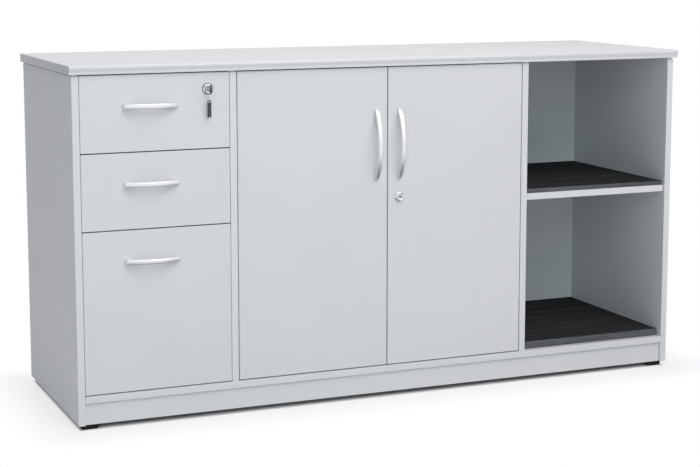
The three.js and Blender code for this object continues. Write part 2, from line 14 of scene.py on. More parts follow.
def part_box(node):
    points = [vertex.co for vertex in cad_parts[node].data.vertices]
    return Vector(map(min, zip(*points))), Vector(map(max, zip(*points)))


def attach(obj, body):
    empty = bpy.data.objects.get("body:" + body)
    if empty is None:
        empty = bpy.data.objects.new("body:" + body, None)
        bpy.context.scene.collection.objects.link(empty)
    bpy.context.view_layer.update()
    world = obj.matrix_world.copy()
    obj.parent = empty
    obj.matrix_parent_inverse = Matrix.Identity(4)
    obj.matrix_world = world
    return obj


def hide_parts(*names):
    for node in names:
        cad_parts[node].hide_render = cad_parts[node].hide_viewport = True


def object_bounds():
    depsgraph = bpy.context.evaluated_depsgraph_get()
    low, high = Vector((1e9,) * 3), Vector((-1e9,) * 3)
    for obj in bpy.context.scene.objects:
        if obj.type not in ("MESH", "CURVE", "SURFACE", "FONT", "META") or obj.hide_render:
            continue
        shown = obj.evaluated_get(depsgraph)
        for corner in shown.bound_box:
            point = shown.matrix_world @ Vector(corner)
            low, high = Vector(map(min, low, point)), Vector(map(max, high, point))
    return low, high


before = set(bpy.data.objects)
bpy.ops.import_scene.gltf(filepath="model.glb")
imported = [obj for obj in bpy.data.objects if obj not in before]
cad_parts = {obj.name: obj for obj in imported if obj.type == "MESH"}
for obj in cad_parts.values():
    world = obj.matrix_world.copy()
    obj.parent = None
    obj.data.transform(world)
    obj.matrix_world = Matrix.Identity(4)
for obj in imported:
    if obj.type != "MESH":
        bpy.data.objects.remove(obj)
cad_low, cad_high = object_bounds()

bl_info = {
    "name": "Office credenza",
    "version": (1, 0, 0),
    "blender": (4, 5, 0),
    "location": "View3D > Sidebar > Credenza",
    "description": "Board finishes, bow handles, locks, hinges and feet of a grey office credenza",
    "category": "Object",
}

MM = 0.001
WELD = 1e-7
SMOOTH_ANGLE = math.radians(32)
SHARP_ANGLE = math.radians(50)
FULL_TURN = 2 * math.pi
TURNED_SIDES = 72
BEVEL_STEPS = 2
CORNER_STEPS = 6
AXES = "XYZ"
CORNER_SIGNS = ((1, 1), (-1, 1), (-1, -1), (1, -1))

DRAWERS = ("top_drawer", "middle_drawer", "file_drawer")
DOORS = ("left_door", "right_door")
LEVELS = ("upper", "lower")
SIDES = ("left", "right")


# Sizes and colours that a user would change


def number(name, description, default, **options):
    return FloatProperty(name=name, description=description, default=default, **options)


def length(name, description, default):
    return number(name, description, default, unit="LENGTH", precision=4)


def power(name, description, default):
    return number(name, description, default, unit="POWER")


def colour(name, description, default):
    return FloatVectorProperty(name=name, description=description, default=default, size=3, min=0, max=1,
                               subtype="COLOR")


class BoardSettings(bpy.types.PropertyGroup):
    """Boards of the carcass, the drawers and the doors"""

    melamine: colour("Melamine", "Face of the grey boards", (0.650, 0.650, 0.678))
    edging: colour("Edging", "Tape on the edges of the grey boards", (0.670, 0.672, 0.700))
    # Painted shade: the top's two end faces take this colour, darker than the edging, in place of their
    # shade.
    end_tape: colour("End tape", "Tape on the two ends of the top", (0.470, 0.480, 0.500))
    laminate: colour("Laminate", "Middle tone of the charcoal wood grain", (0.0355, 0.0377, 0.0402))
    nose_radius: length("Nose radius", "Rounding of the top's upper front edge", 4.5 * MM)
    ogee_depth: length("Ogee depth", "How far the top's lower front edge stands behind its nose", 3.2 * MM)
    arris: length("Arris", "Softened edges of the top", 0.7 * MM)


class HandleSettings(bpy.types.PropertyGroup):
    """Bow handles of the drawers and the doors"""

    lacquer: colour("Lacquer", "Satin silver lacquer", (0.80, 0.81, 0.83))
    foot: length("Foot", "Length of each foot along the bow", 13 * MM)
    grip: length("Grip", "Thickness of the bow at its middle", 7 * MM)


class FittingSettings(bpy.types.PropertyGroup):
    """Locks, keys, hinges, drawer boxes and feet"""

    chrome: colour("Chrome", "Plated locks, keys and screws", (0.74, 0.76, 0.78))
    keyway: colour("Keyway", "Shade inside the keyways and grooves", (0.006, 0.007, 0.008))
    key_shell: colour("Key shell", "Dark shell of the keys", (0.020, 0.028, 0.031))
    nickel: colour("Nickel", "Hinges and cams", (0.56, 0.56, 0.55))
    epoxy: colour("Epoxy", "Painted steel of the drawer boxes", (0.58, 0.60, 0.62))
    foot_plastic: colour("Foot plastic", "Moulded glides", (0.0045, 0.0047, 0.005))
    pressed_edge: length("Pressed edge", "Softened edges of the steel parts", 0.3 * MM)


class StudioSettings(bpy.types.PropertyGroup):
    """Camera, floor and light"""

    camera_place: FloatVectorProperty(name="Camera place", description="Where the camera stands", size=3,
                                      default=(-1.487, -3.461, 0.975), subtype="TRANSLATION", unit="LENGTH")
    camera_turn: number("Camera turn", "Turn to the right of straight back", math.radians(23.02),
                        subtype="ANGLE")
    camera_tilt: number("Camera tilt", "Tilt below level", math.radians(7.84), subtype="ANGLE")
    focal_length: number("Focal length", "Lens on a sensor 36 mm wide", 85.2, subtype="DISTANCE_CAMERA")
    frame_shift: number("Frame shift", "Vertical shift as a share of the image width", -0.0764)
    floor: colour("Floor", "Pale floor", (0.80, 0.80, 0.80))
    ambient: number("Ambient", "Strength of the even light all round", 0.16)
    ambient_tint: colour("Ambient tint", "Tint of the even light all round", (0.86, 0.95, 1.0))
    key_power: power("Key light", "Large softbox, high in front", 125)
    key_tint: colour("Key tint", "Tint of the large softbox", (1.0, 0.905, 0.90))
    fill_power: power("Fill light", "Softbox near the camera", 63)
    fill_tint: colour("Fill tint", "Tint of the softbox near the camera", (0.80, 1.0, 0.99))
    top_power: power("Top light", "Softbox overhead", 50)
    rear_power: power("Rear light", "Low softbox behind the piece", 45)
    # The floor's shadow round the piece is paled by a painted white glow, set by these three.
    shadow_reach: length("Shadow reach", "How far round the piece the floor keeps its shadow", 0.14)
    shadow_rim: length("Shadow rim", "How far under the piece its full shadow starts", 0.01)
    shadow_lift: number("Shadow lift", "How pale the shadow is beside the piece", 0.70, subtype="FACTOR")
    card_reach: length("Card reach", "Breadth of the dark card on the floor in front", 0.65)


# Shader nodes


class Socket:
    """An output of a shader node that takes part in Python arithmetic."""

    def __init__(self, tree, link):
        self.tree = tree
        self.link = link

    def output(self, name):
        return Socket(self.tree, self.link.node.outputs[name])

    def math(self, operation, *terms):
        return self.tree.node("ShaderNodeMath", dict(enumerate(terms)), {"operation": operation})

    def __add__(self, other):
        return self.math("ADD", self, other)

    __radd__ = __add__

    def __sub__(self, other):
        return self.math("SUBTRACT", self, other)

    def __rsub__(self, other):
        return self.math("SUBTRACT", other, self)

    def __mul__(self, other):
        return self.math("MULTIPLY", self, other)

    __rmul__ = __mul__

    def __pow__(self, other):
        return self.math("POWER", self, other)

    def __rpow__(self, other):
        return self.math("POWER", other, self)

    def __abs__(self):
        return self.math("ABSOLUTE", self)

    def larger(self, other):
        return self.math("MAXIMUM", self, other)

    def rise(self, start, end):
        """0 below start, 1 above end and a smooth step between them."""
        return self.tree.node("ShaderNodeMapRange", {"Value": self, "From Min": start, "From Max": end},
                              {"interpolation_type": "SMOOTHSTEP"})


class NodeTree:
    """The node tree of a material or of the world, built node by node."""

    def __init__(self, owner):
        owner.use_nodes = True
        self.owner = owner
        self.nodes = owner.node_tree.nodes
        self.links = owner.node_tree.links
        self.nodes.clear()

    def node(self, kind, sockets=None, settings=None, output=0):
        """Adds a node: its settings first, then the values or links of its sockets."""
        made = self.nodes.new(kind)
        for name, value in (settings or {}).items():
            if name == "stops":
                self.set_stops(made.color_ramp, value)
            else:
                setattr(made, name, value)
        for name, value in (sockets or {}).items():
            if isinstance(value, Socket):
                self.links.new(value.link, made.inputs[name])
            else:
                made.inputs[name].default_value = value
        return Socket(self, made.outputs[output]) if made.outputs else None

    @staticmethod
    def set_stops(ramp, stops):
        while len(ramp.elements) < len(stops):
            ramp.elements.new(1)
        for element, (place, tone) in zip(ramp.elements, stops):
            element.position = place
            element.color = opaque(tone)

    def place(self):
        """Position on the piece, in the frame's own metres."""
        return self.node("ShaderNodeTexCoord", output="Object")

    def facing(self, axis):
        """How squarely the surface faces one of the piece's own axes, from 0 to 1."""
        normal = self.node("ShaderNodeTexCoord", output="Normal")
        return abs(self.node("ShaderNodeSeparateXYZ", {"Vector": normal}, output=axis))

    def along(self, axis):
        """Position on the piece along one axis."""
        return self.node("ShaderNodeSeparateXYZ", {"Vector": self.place()}, output=axis)

    def noise(self, scale, detail):
        return self.node("ShaderNodeTexNoise", {"Vector": self.place(), "Scale": scale, "Detail": detail})

    def grain(self, scales, detail):
        """Noise with a scale of its own along each axis."""
        scaled = self.node("ShaderNodeVectorMath", {0: self.place(), 1: scales}, {"operation": "MULTIPLY"})
        return self.node("ShaderNodeTexNoise", {"Vector": scaled, "Scale": 1, "Detail": detail})

    def mix(self, share, first, second):
        """Blend of two colours."""
        return self.node("ShaderNodeMix", {0: share, 6: first, 7: second}, {"data_type": "RGBA"}, output=2)

    def shades(self, share, tone, first, second):
        """Blend of two strengths of one colour."""
        return self.mix(share, opaque(tone, first), opaque(tone, second))

    def ramp(self, value, *stops):
        return self.node("ShaderNodeValToRGB", {"Fac": value}, {"stops": stops})

    def bump(self, height, depth, strength):
        return self.node("ShaderNodeBump", {"Strength": strength, "Distance": depth, "Height": height})

    def light_path(self):
        """1 for rays that show or mirror the surroundings, and 0 for those that only carry light."""
        path = self.node("ShaderNodeLightPath", output="Is Camera Ray")
        return path.larger(path.output("Is Glossy Ray")).larger(path.output("Is Transmission Ray"))

    def shader(self, **sockets):
        """Principled shader. Socket names are written with underscores."""
        named = {name.replace("_", " "): value for name, value in sockets.items()}
        return self.node("ShaderNodeBsdfPrincipled", named)

    def surface(self, **sockets):
        """Ends the tree of a material in one principled shader, and returns the material."""
        self.node("ShaderNodeOutputMaterial", {"Surface": self.shader(**sockets)})
        return self.owner


def opaque(tone, strength=1.0):
    """Colour with an alpha of 1, made lighter or darker by a factor."""
    return (*(channel * strength for channel in tone[:3]), 1.0)


# Finishes


def material_tree(name):
    return NodeTree(bpy.data.materials.new(name))


def melamine(boards, thin_axis, name="melamine", end_tape=None):
    """Matt pearl-grained grey board with edging tape round its edges, and a painted highlight along the
    arrises.
    """
    tree = material_tree(f"{name}_{thin_axis.lower()}")
    cloud = tree.noise(3.2, 3)
    pearl = tree.noise(900, 1)
    handled = tree.noise(11, 4)
    squarely = tree.facing(thin_axis)
    tape = 1 - squarely.rise(0.3, 0.8)
    # Painted highlight: a lighter line of edging colour along the rounded arrises, where they catch the
    # light.
    arris = squarely.rise(0.75, 0.83) * (1 - squarely.rise(0.95, 0.99))
    face = tree.shades(cloud.rise(0.35, 0.65), boards.melamine, 0.985, 1.012)
    speckled = tree.mix(pearl.rise(0.40, 0.75) * 0.35, face, opaque(boards.melamine, 1.05))
    banded = tree.mix(tape, speckled, opaque(boards.edging))
    # Painted shade: the ends that face X are coloured darker with the end tape colour.
    if end_tape:
        banded = tree.mix(tree.facing("X").rise(0.8, 0.9), banded, opaque(end_tape))
    return tree.surface(
        Base_Color=tree.mix(arris * 0.6, banded, opaque(boards.edging, 1.08)),
        Roughness=0.40 + pearl * 0.14 - tape * 0.08 + handled.rise(0.55, 0.8) * 0.05,
        Normal=tree.bump(pearl, 0.03 * MM, 0.35),
    )


def charcoal(boards):
    """Dark laminate with wood grain along X: broad figure, fine fibres and short pores, with painted light
    on its edges, which take much lighter tones than its faces.
    """
    tree = material_tree("charcoal_laminate")
    figure = tree.grain((2.2, 34, 34), 3)
    fibre = tree.grain((9, 420, 420), 3)
    pore = tree.grain((46, 1500, 1500), 1).rise(0.60, 0.68)
    grain = figure * 0.45 + fibre * 0.55
    tone = tree.ramp(grain, (0.28, opaque(boards.laminate, 0.62)), (0.5, opaque(boards.laminate)),
                     (0.72, opaque(boards.laminate, 1.7)))
    tape = 1 - tree.facing("Z").rise(0.3, 0.8)
    # Painted light: the edges carry the grain in lighter tones than the faces, standing in for the light
    # they catch.
    edge_grain_painted_light = tree.ramp(grain, (0.3, opaque(boards.laminate, 1.8)), (0.7, opaque(boards.laminate, 4.2)))
    edged = tree.mix(tape, tone, edge_grain_painted_light)
    return tree.surface(
        Base_Color=tree.mix(pore * 0.5, edged, opaque(boards.laminate, 0.3)),
        Roughness=0.50 + fibre * 0.2,
        Specular_IOR_Level=0.0,
        Normal=tree.bump(fibre - pore, 0.12 * MM, 0.5),
    )


def silver_lacquer(handles):
    """Satin silver lacquer with fine flake, its gloss varying in broad clouds."""
    tree = material_tree("silver_lacquer")
    flake = tree.noise(5200, 1)
    cloud = tree.noise(60, 3)
    return tree.surface(
        Base_Color=tree.shades(flake.rise(0.3, 0.7), handles.lacquer, 0.96, 1.03),
        Metallic=0.75,
        Roughness=0.30 + cloud * 0.08 + flake * 0.06,
        Normal=tree.bump(flake, 0.01 * MM, 0.25),
    )


def polished_chrome(fittings):
    """Bright plating with faint smears and hairline scratches."""
    tree = material_tree("polished_chrome")
    smear = tree.noise(140, 4)
    scratch = tree.grain((900, 900, 9000), 2)
    return tree.surface(
        Base_Color=tree.shades(smear.rise(0.4, 0.7), fittings.chrome, 1.0, 0.93),
        Metallic=1.0,
        Roughness=0.05 + smear.rise(0.45, 0.75) * 0.07,
        Normal=tree.bump(scratch, 0.004 * MM, 0.2),
    )


def brushed_nickel(fittings):
    """Pressed steel under nickel, with a fine drawn grain."""
    tree = material_tree("brushed_nickel")
    drawn = tree.grain((300, 4200, 4200), 2)
    cloud = tree.noise(45, 3)
    return tree.surface(
        Base_Color=tree.shades(cloud.rise(0.35, 0.7), fittings.nickel, 1.0, 0.88),
        Metallic=1.0,
        Roughness=0.24 + drawn * 0.14,
        Normal=tree.bump(drawn, 0.01 * MM, 0.3),
    )


def grey_epoxy(fittings):
    """Powder paint with a slight orange peel."""
    tree = material_tree("grey_epoxy")
    peel = tree.noise(650, 2)
    cloud = tree.noise(9, 3)
    return tree.surface(
        Base_Color=tree.shades(cloud, fittings.epoxy, 0.97, 1.02),
        Roughness=0.36 + peel * 0.12,
        Normal=tree.bump(peel, 0.05 * MM, 0.4),
    )


def dark_shell(fittings, name="dark_key_shell", lightness=1.0):
    """Glossy dark shell of a key, rubbed lighter in places."""
    tree = material_tree(name)
    rubbed = tree.noise(260, 4).rise(0.55, 0.8)
    mould = tree.noise(2600, 1)
    return tree.surface(
        Base_Color=tree.shades(rubbed * 0.35, fittings.key_shell, lightness, 3 * lightness),
        Roughness=0.24 + rubbed * 0.2 + mould * 0.06,
        Normal=tree.bump(mould, 0.01 * MM, 0.3),
    )


def keyway_shade(fittings):
    """Painted shade: near-black inside of keyways and grooves, mottled in tone and gloss."""
    tree = material_tree("keyway_shade")
    shade_mottle = tree.noise(900, 3)
    return tree.surface(
        Base_Color=tree.shades(shade_mottle, fittings.keyway, 0.6, 1.6),
        Roughness=0.35 + shade_mottle * 0.3,
    )


def moulded_plastic(fittings):
    """Matt black plastic with a moulded grain and dust towards the floor."""
    tree = material_tree("moulded_plastic")
    mould = tree.noise(1900, 2)
    dust = (1 - tree.along("Z").rise(0.0, 4 * MM)) * tree.noise(120, 4).rise(0.45, 0.75)
    return tree.surface(
        Base_Color=tree.shades(dust * 0.2, fittings.foot_plastic, 1.0, 4.0),
        Roughness=0.46 + mould * 0.16 + dust * 0.2,
        Specular_IOR_Level=0.2,
        Normal=tree.bump(mould, 0.04 * MM, 0.5),
    )


# Mesh building


def add_object(name, data):
    """New object in the scene's own collection."""
    added = bpy.data.objects.new(name, data)
    bpy.context.scene.collection.objects.link(added)
    return added


def to_mesh(name, shape, material):
    """Turns a bmesh into a mesh with one material, and frees the bmesh."""
    mesh = bpy.data.meshes.new(name)
    shape.to_mesh(mesh)
    shape.free()
    mesh.materials.append(material)
    return mesh


def add_piece(name, shape, material, body, replaced=()):
    """Turns a bmesh into a piece that rides on a body and stands for CAD nodes."""
    bmesh.ops.remove_doubles(shape, verts=shape.verts, dist=WELD)
    bmesh.ops.recalc_face_normals(shape, faces=shape.faces)
    mesh = to_mesh(name, shape, material)
    mesh.shade_smooth()
    mesh.set_sharp_from_angle(angle=SMOOTH_ANGLE)
    piece = add_object(name, mesh)
    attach(piece, body)
    if replaced:
        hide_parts(*replaced)


def add_rings(shape, rings, closed=False):
    """Skins a row of rings that have equal numbers of points, and caps an open row."""
    rows = [[shape.verts.new(point) for point in ring] for ring in rings]
    pairs = list(zip(rows, rows[1:]))
    if closed:
        pairs.append((rows[-1], rows[0]))
    for first, second in pairs:
        for index in range(len(first)):
            following = (index + 1) % len(first)
            shape.faces.new((first[index], first[following], second[following], second[index]))
    if not closed:
        shape.faces.new(rows[0])
        shape.faces.new(rows[-1])


def add_turned(shape, profile, place, sides=TURNED_SIDES, closed=False):
    """Turns (radius, height) points about the local Z axis of a placing matrix."""
    rings = []
    for radius, height in profile:
        rings.append([place @ Vector((u, v, height)) for u, v in ellipse(radius, radius, sides)])
    add_rings(shape, rings, closed)


def add_plate(shape, outline, holes, low, high, rounding, place):
    """Flat plate between two heights along the local Z axis, with its rims rounded."""
    plate = bmesh.new()
    edges = []
    for loop in (outline, *holes):
        points = [plate.verts.new((u, v, low)) for u, v in loop]
        edges += [plate.edges.new((points[i - 1], points[i])) for i in range(len(points))]
    bmesh.ops.triangle_fill(plate, use_beauty=True, use_dissolve=False, edges=edges)
    raised = bmesh.ops.extrude_face_region(plate, geom=list(plate.faces))["geom"]
    lifted = [item for item in raised if isinstance(item, bmesh.types.BMVert)]
    bmesh.ops.translate(plate, verts=lifted, vec=(0, 0, high - low))
    bmesh.ops.recalc_face_normals(plate, faces=plate.faces)
    rims = [edge for edge in plate.edges if is_rim(edge)]
    bmesh.ops.bevel(plate, geom=rims, offset=rounding, segments=BEVEL_STEPS, profile=0.5, affect="EDGES")
    bmesh.ops.transform(plate, matrix=place, verts=plate.verts)
    merge(shape, plate)


def is_rim(edge):
    """True where a flat face of a plate meets its side wall."""
    if len(edge.link_faces) != 2:
        return False
    levels = sorted(abs(face.normal.z) for face in edge.link_faces)
    return levels[0] < 0.5 < levels[1]


def merge(shape, other):
    """Adds one bmesh to another and frees it."""
    carrier = bpy.data.meshes.new("carrier")
    other.to_mesh(carrier)
    other.free()
    shape.from_mesh(carrier)
    bpy.data.meshes.remove(carrier)


def arc(centre, radius, start, end, steps):
    """Points on an arc in degrees, both ends included."""
    points = []
    for step in range(steps + 1):
        angle = math.radians(start + (end - start) * step / steps)
        points.append((centre[0] + radius * math.cos(angle), centre[1] + radius * math.sin(angle)))
    return points


def rounded_rectangle(half_width, half_height, radius):
    """Outline of a rectangle with rounded corners, anticlockwise from its right side."""
    points = []
    for quarter, (x_sign, y_sign) in enumerate(CORNER_SIGNS):
        centre = (x_sign * (half_width - radius), y_sign * (half_height - radius))
        points += arc(centre, radius, 90 * quarter, 90 * quarter + 90, CORNER_STEPS)
    return points


def ellipse(half_width, half_height, steps):
    angles = [FULL_TURN * step / steps for step in range(steps)]
    return [(half_width * math.cos(angle), half_height * math.sin(angle)) for angle in angles]


def basis(x_axis, y_axis, z_axis, origin):
    """Matrix that places local X, Y and Z along three directions of the frame."""
    columns = [Vector(axis).to_4d() for axis in (x_axis, y_axis, z_axis)]
    for column in columns:
        column.w = 0
    matrix = Matrix((*columns, Vector(origin).to_4d()))
    matrix.transpose()
    return matrix


def on_face(x, face_y, z):
    """Place on a front face: local X to the right, Y up and Z out of the face."""
    return basis((1, 0, 0), (0, 0, 1), (0, -1, 0), (x, face_y, z))


def middle(node):
    low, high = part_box(node)
    return (low + high) / 2


def extent(node):
    low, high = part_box(node)
    return high - low


def dress(nodes, material):
    """Gives CAD nodes a finish in the material slots of their objects."""
    for node in nodes:
        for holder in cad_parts[node].material_slots:
            holder.material = material


# Boards

GREY_BOARDS = (
    "left_side_panel", "right_side_panel", "bottom_panel", "back_panel", "front_plinth", "drawer_partition",
    "shelf_partition", "open_shelf", "cupboard_shelf", *DOORS,
    *(f"{drawer}_{part}" for drawer in DRAWERS for part in ("front", "back", "bottom")),
)
CHARCOAL_BOARDS = ("upper_shelf_liner", "lower_shelf_liner")
TAPE_THICKNESS = 0.6 * MM
TAPE_INSET = 0.8 * MM
TAPE_BED = 0.1 * MM
TAPE_ROUNDING = 0.15 * MM


class CREDENZA_OT_boards(bpy.types.Operator):
    """Give the grey boards their edged melamine, the fronts their end tape and the liners their grain"""

    bl_idname = "credenza.boards"
    bl_label = "Finish boards"

    def execute(self, context):
        boards = context.scene.credenza_boards
        finishes = {axis: melamine(boards, axis) for axis in AXES}
        for node in GREY_BOARDS:
            size = list(extent(node))
            dress([node], finishes[AXES[size.index(min(size))]])
        dress(CHARCOAL_BOARDS, charcoal(boards))
        for drawer in DRAWERS:
            self.add_end_tape(f"{drawer}_front", drawer, SIDES, finishes["Y"])
        for side, door in zip(SIDES, DOORS):
            self.add_end_tape(door, door, (side,), finishes["Y"])
        return {"FINISHED"}

    def add_end_tape(self, node, body, sides, finish):
        """Edging tape on the upright ends of a front, set back behind its softened edges."""
        low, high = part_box(node)
        centre = (low + high) / 2
        half_depth = centre.y - low.y - TAPE_INSET
        half_height = centre.z - low.z - TAPE_INSET
        outline = [(u * half_depth, v * half_height) for u, v in CORNER_SIGNS]
        shape = bmesh.new()
        for side in sides:
            end, outward = (low.x, -1) if side == "left" else (high.x, 1)
            place = basis((0, outward, 0), (0, 0, 1), (outward, 0, 0), (end, centre.y, centre.z))
            add_plate(shape, outline, (), -TAPE_BED, TAPE_THICKNESS, TAPE_ROUNDING, place)
        add_piece(f"{body}_end_tape", shape, finish, body)


def top_outline(low, high, boards):
    """Section of the top in Y and Z: rounded nose, ogee and upright lower band along the front."""
    nose = boards.nose_radius
    arris = boards.arris
    band_height = 4 * MM
    ogee_steps = 10
    front = low.y
    band = front + boards.ogee_depth
    nose_arc = arc((front + nose, high.z - nose), nose, 90, 180, 8)
    ogee_start = high.z - nose
    ogee_end = low.z + band_height
    ogee = []
    for step in range(1, ogee_steps + 1):
        share = step / ogee_steps
        inward = boards.ogee_depth * share * share * (3 - 2 * share)
        ogee.append((front + inward, ogee_start + (ogee_end - ogee_start) * share))
    lower_arc = arc((band + arris, low.z + arris), arris, 180, 270, 3)
    rear_low = arc((high.y - arris, low.z + arris), arris, 270, 360, 3)
    rear_high = arc((high.y - arris, high.z - arris), arris, 0, 90, 3)
    return [*nose_arc, *ogee, *lower_arc, *rear_low, *rear_high]


class CREDENZA_OT_top(bpy.types.Operator):
    """Build the top with its soft-formed front edge"""

    bl_idname = "credenza.top"
    bl_label = "Build top"

    def execute(self, context):
        boards = context.scene.credenza_boards
        low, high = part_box("top_panel")
        outline = top_outline(low, high, boards)
        end_rounding = 0.4 * MM
        shape = bmesh.new()
        along_x = basis((0, 1, 0), (0, 0, 1), (1, 0, 0), (0, 0, 0))
        add_plate(shape, outline, (), low.x, high.x, end_rounding, along_x)
        finish = melamine(boards, "Z", "top_melamine", boards.end_tape)
        add_piece("top_board", shape, finish, "carcass", ["top_panel"])
        return {"FINISHED"}


# Bow handles

DRAWER_KNUCKLE = 8 * MM
DOOR_KNUCKLE = 6 * MM


def resampled(points, count):
    """The same line with evenly spaced points."""
    lengths = [0.0]
    for first, second in zip(points, points[1:]):
        lengths.append(lengths[-1] + math.dist(first, second))
    result = []
    index = 0
    for step in range(count):
        target = lengths[-1] * step / (count - 1)
        while index < len(points) - 2 and lengths[index + 1] < target:
            index += 1
        share = (target - lengths[index]) / (lengths[index + 1] - lengths[index])
        result.append(Vector(points[index]).lerp(Vector(points[index + 1]), share))
    return result


def softened(points, rounds):
    """Rounds the corners of a line by averaging, with its ends held."""
    for _ in range(rounds):
        inner = [(a + 2 * b + c) / 4 for a, b, c in zip(points, points[1:], points[2:])]
        points = [points[0], *inner, points[-1]]
    return points


def bow_arc(half, base, rise):
    """Arc over a chord on the U axis, from its left end to its right end."""
    steps = 40
    radius = (half * half + rise * rise) / (2 * rise)
    drop = base + rise - radius
    spread = math.degrees(math.asin(half / radius))
    return arc((0, drop), radius, 90 + spread, 90 - spread, steps)


def add_bow(shape, span, reach, band, knuckle, handles, place):
    """Bow along local X with its feet on local Z = 0, lofted from rounded sections."""
    stations = 90
    corners = 28
    corner_rounds = 14
    squareness = 4.0
    half = span / 2
    arch = bow_arc(half, knuckle, reach - knuckle)
    outer = softened(resampled([(-half, 0), *arch, (half, 0)], stations), corner_rounds)
    inner = resampled(bow_arc(half - handles.foot, 0, reach - handles.grip), stations)
    rings = []
    for out_point, in_point in zip(outer, inner):
        centre = (out_point + in_point) / 2
        across = (out_point - in_point) / 2
        ring = []
        for corner in range(corners):
            angle = FULL_TURN * corner / corners
            rise = math.copysign(abs(math.cos(angle)) ** (2 / squareness), math.cos(angle))
            side = math.copysign(abs(math.sin(angle)) ** (2 / squareness), math.sin(angle))
            point = centre + across * rise
            ring.append(place @ Vector((point.x, side * band / 2, point.y)))
        rings.append(ring)
    add_rings(shape, rings)


class CREDENZA_OT_handles(bpy.types.Operator):
    """Build the bow handles of the drawers and doors"""

    bl_idname = "credenza.handles"
    bl_label = "Build handles"

    def execute(self, context):
        handles = context.scene.credenza_handles
        lacquer = silver_lacquer(handles)
        for body in (*DRAWERS, *DOORS):
            node = f"{body}_handle"
            low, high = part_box(node)
            size = high - low
            centre = middle(node)
            shape = bmesh.new()
            if body in DRAWERS:
                level = on_face(centre.x, high.y, centre.z)
                add_bow(shape, size.x, size.y, size.z, DRAWER_KNUCKLE, handles, level)
            else:
                upright = basis((0, 0, 1), (-1, 0, 0), (0, -1, 0), (centre.x, high.y, centre.z))
                add_bow(shape, size.z, size.y, size.x, DOOR_KNUCKLE, handles, upright)
            add_piece(f"{body}_bow", shape, lacquer, body, [node])
        return {"FINISHED"}


# Locks and keys

PLUG_RADIUS = 6 * MM
PLUG_BORE = 6.3 * MM
PLUG_FACE = 3.5 * MM
KEYWAY_REACH = 5.2 * MM
KEYWAY_FLOOR = 3.6 * MM
KEY_ROUNDING = 0.45 * MM
GROOVE_INNER = 6.35 * MM
GROOVE_OUTER = 7.15 * MM
GROOVE_DEPTH = 1.6 * MM
SEAM_DEPTH = 0.4 * MM
RIM_INSET = 1.3 * MM
RIM_WIDTH = 1.2 * MM
RIM_FLOOR = 0.6 * MM


def add_barrel(lock, face, rides_on, chrome, groove, stepped=False):
    """Turned barrel: domed bezel, stepped near its rim if asked, groove round the plug and body behind.

    Returns the place on its axis at the front face, and the heights of its two ends from there.
    """
    node = f"{lock}_barrel"
    low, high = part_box(node)
    centre = middle(node)
    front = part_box(face)[0].y
    place = on_face(centre.x, front, centre.z)
    lift = front - low.y
    rear = front - high.y
    radius = (high.x - low.x) / 2
    body = 9.5 * MM
    lip = 0.4 * MM
    skirt = 0.9 * MM
    spring = 1.2 * MM
    underside = 0.3 * MM
    dome_steps = 8
    flange = radius - 0.3 * MM
    foot = flange
    dome = [(radius - lip + lip * math.cos(angle), skirt + lip * math.sin(angle)) for angle in (0.0, 0.8)]
    if stepped:
        edge = radius - RIM_INSET
        foot = edge - RIM_WIDTH
        dome += [(edge, skirt + lip), (edge, RIM_FLOOR), (foot, RIM_FLOOR), (foot, spring)]
    shoulder = PLUG_BORE + 1.6 * MM
    for step in range(1, dome_steps + 1):
        angle = math.pi / 2 * step / dome_steps
        dome.append((shoulder + (foot - shoulder) * math.cos(angle),
                     spring + (lift - spring) * math.sin(angle)))
    floor = lift - groove
    lead_in = PLUG_BORE + 1.2 * MM
    groove_wall = PLUG_BORE + 0.9 * MM
    rim = [(lead_in, lift - 0.2 * MM), (groove_wall, floor), (PLUG_BORE, floor)]
    back = [(PLUG_BORE, rear), (body, rear), (body, underside), (flange, underside), (radius, 0.5 * MM)]
    shape = bmesh.new()
    add_turned(shape, [*dome, *rim, *back], place, closed=True)
    add_piece(f"{lock}_bezel", shape, chrome, rides_on, [node])
    return place, lift, rear


def add_shade_ring(name, inner, outer, floor, body, shade, place):
    """Ring of painted shade on the floor of a groove or of a keyway."""
    low = floor + 0.02 * MM
    high = floor + 0.3 * MM
    ring = bmesh.new()
    add_turned(ring, [(inner, low), (outer, low), (outer, high), (inner, high)], place, closed=True)
    add_piece(name, ring, shade, body)


def cross_outline(reach, half_width):
    """Outline of a plus-shaped keyway or recess."""
    corners = []
    for turn in range(4):
        angle = turn * math.pi / 2
        for u, v in ((reach, -half_width), (reach, half_width), (half_width, half_width)):
            corners.append((u * math.cos(angle) - v * math.sin(angle),
                            u * math.sin(angle) + v * math.cos(angle)))
    return corners


def slot_outline(half_width, half_height):
    """Outline of an upright slot with round ends."""
    return [*arc((0, half_height - half_width), half_width, 0, 180, 8),
            *arc((0, half_width - half_height), half_width, 180, 360, 8)]


def teardrop(radius, tip):
    """Outline of a round hole drawn out to a point at the top."""
    return [*arc((0, 0), radius, 150, 390, 20), (0, tip)]


def add_plug(shape, lift, rear, keyway, place):
    """Plug with a keyway through its face and a closed body behind it."""
    outline = ellipse(PLUG_RADIUS, PLUG_RADIUS, 64)
    add_plate(shape, outline, [keyway], lift - PLUG_FACE, lift, 0.35 * MM, place)
    add_turned(shape, [(PLUG_RADIUS, lift - PLUG_FACE - 0.1 * MM), (PLUG_RADIUS, rear)], place)


def cam_outline(reach, half_width):
    """Outline of a lock cam along +X: round at the axis and square at its tip."""
    return [*arc((0, 0), half_width, 90, 270, 12), (reach, -half_width), (reach, half_width)]


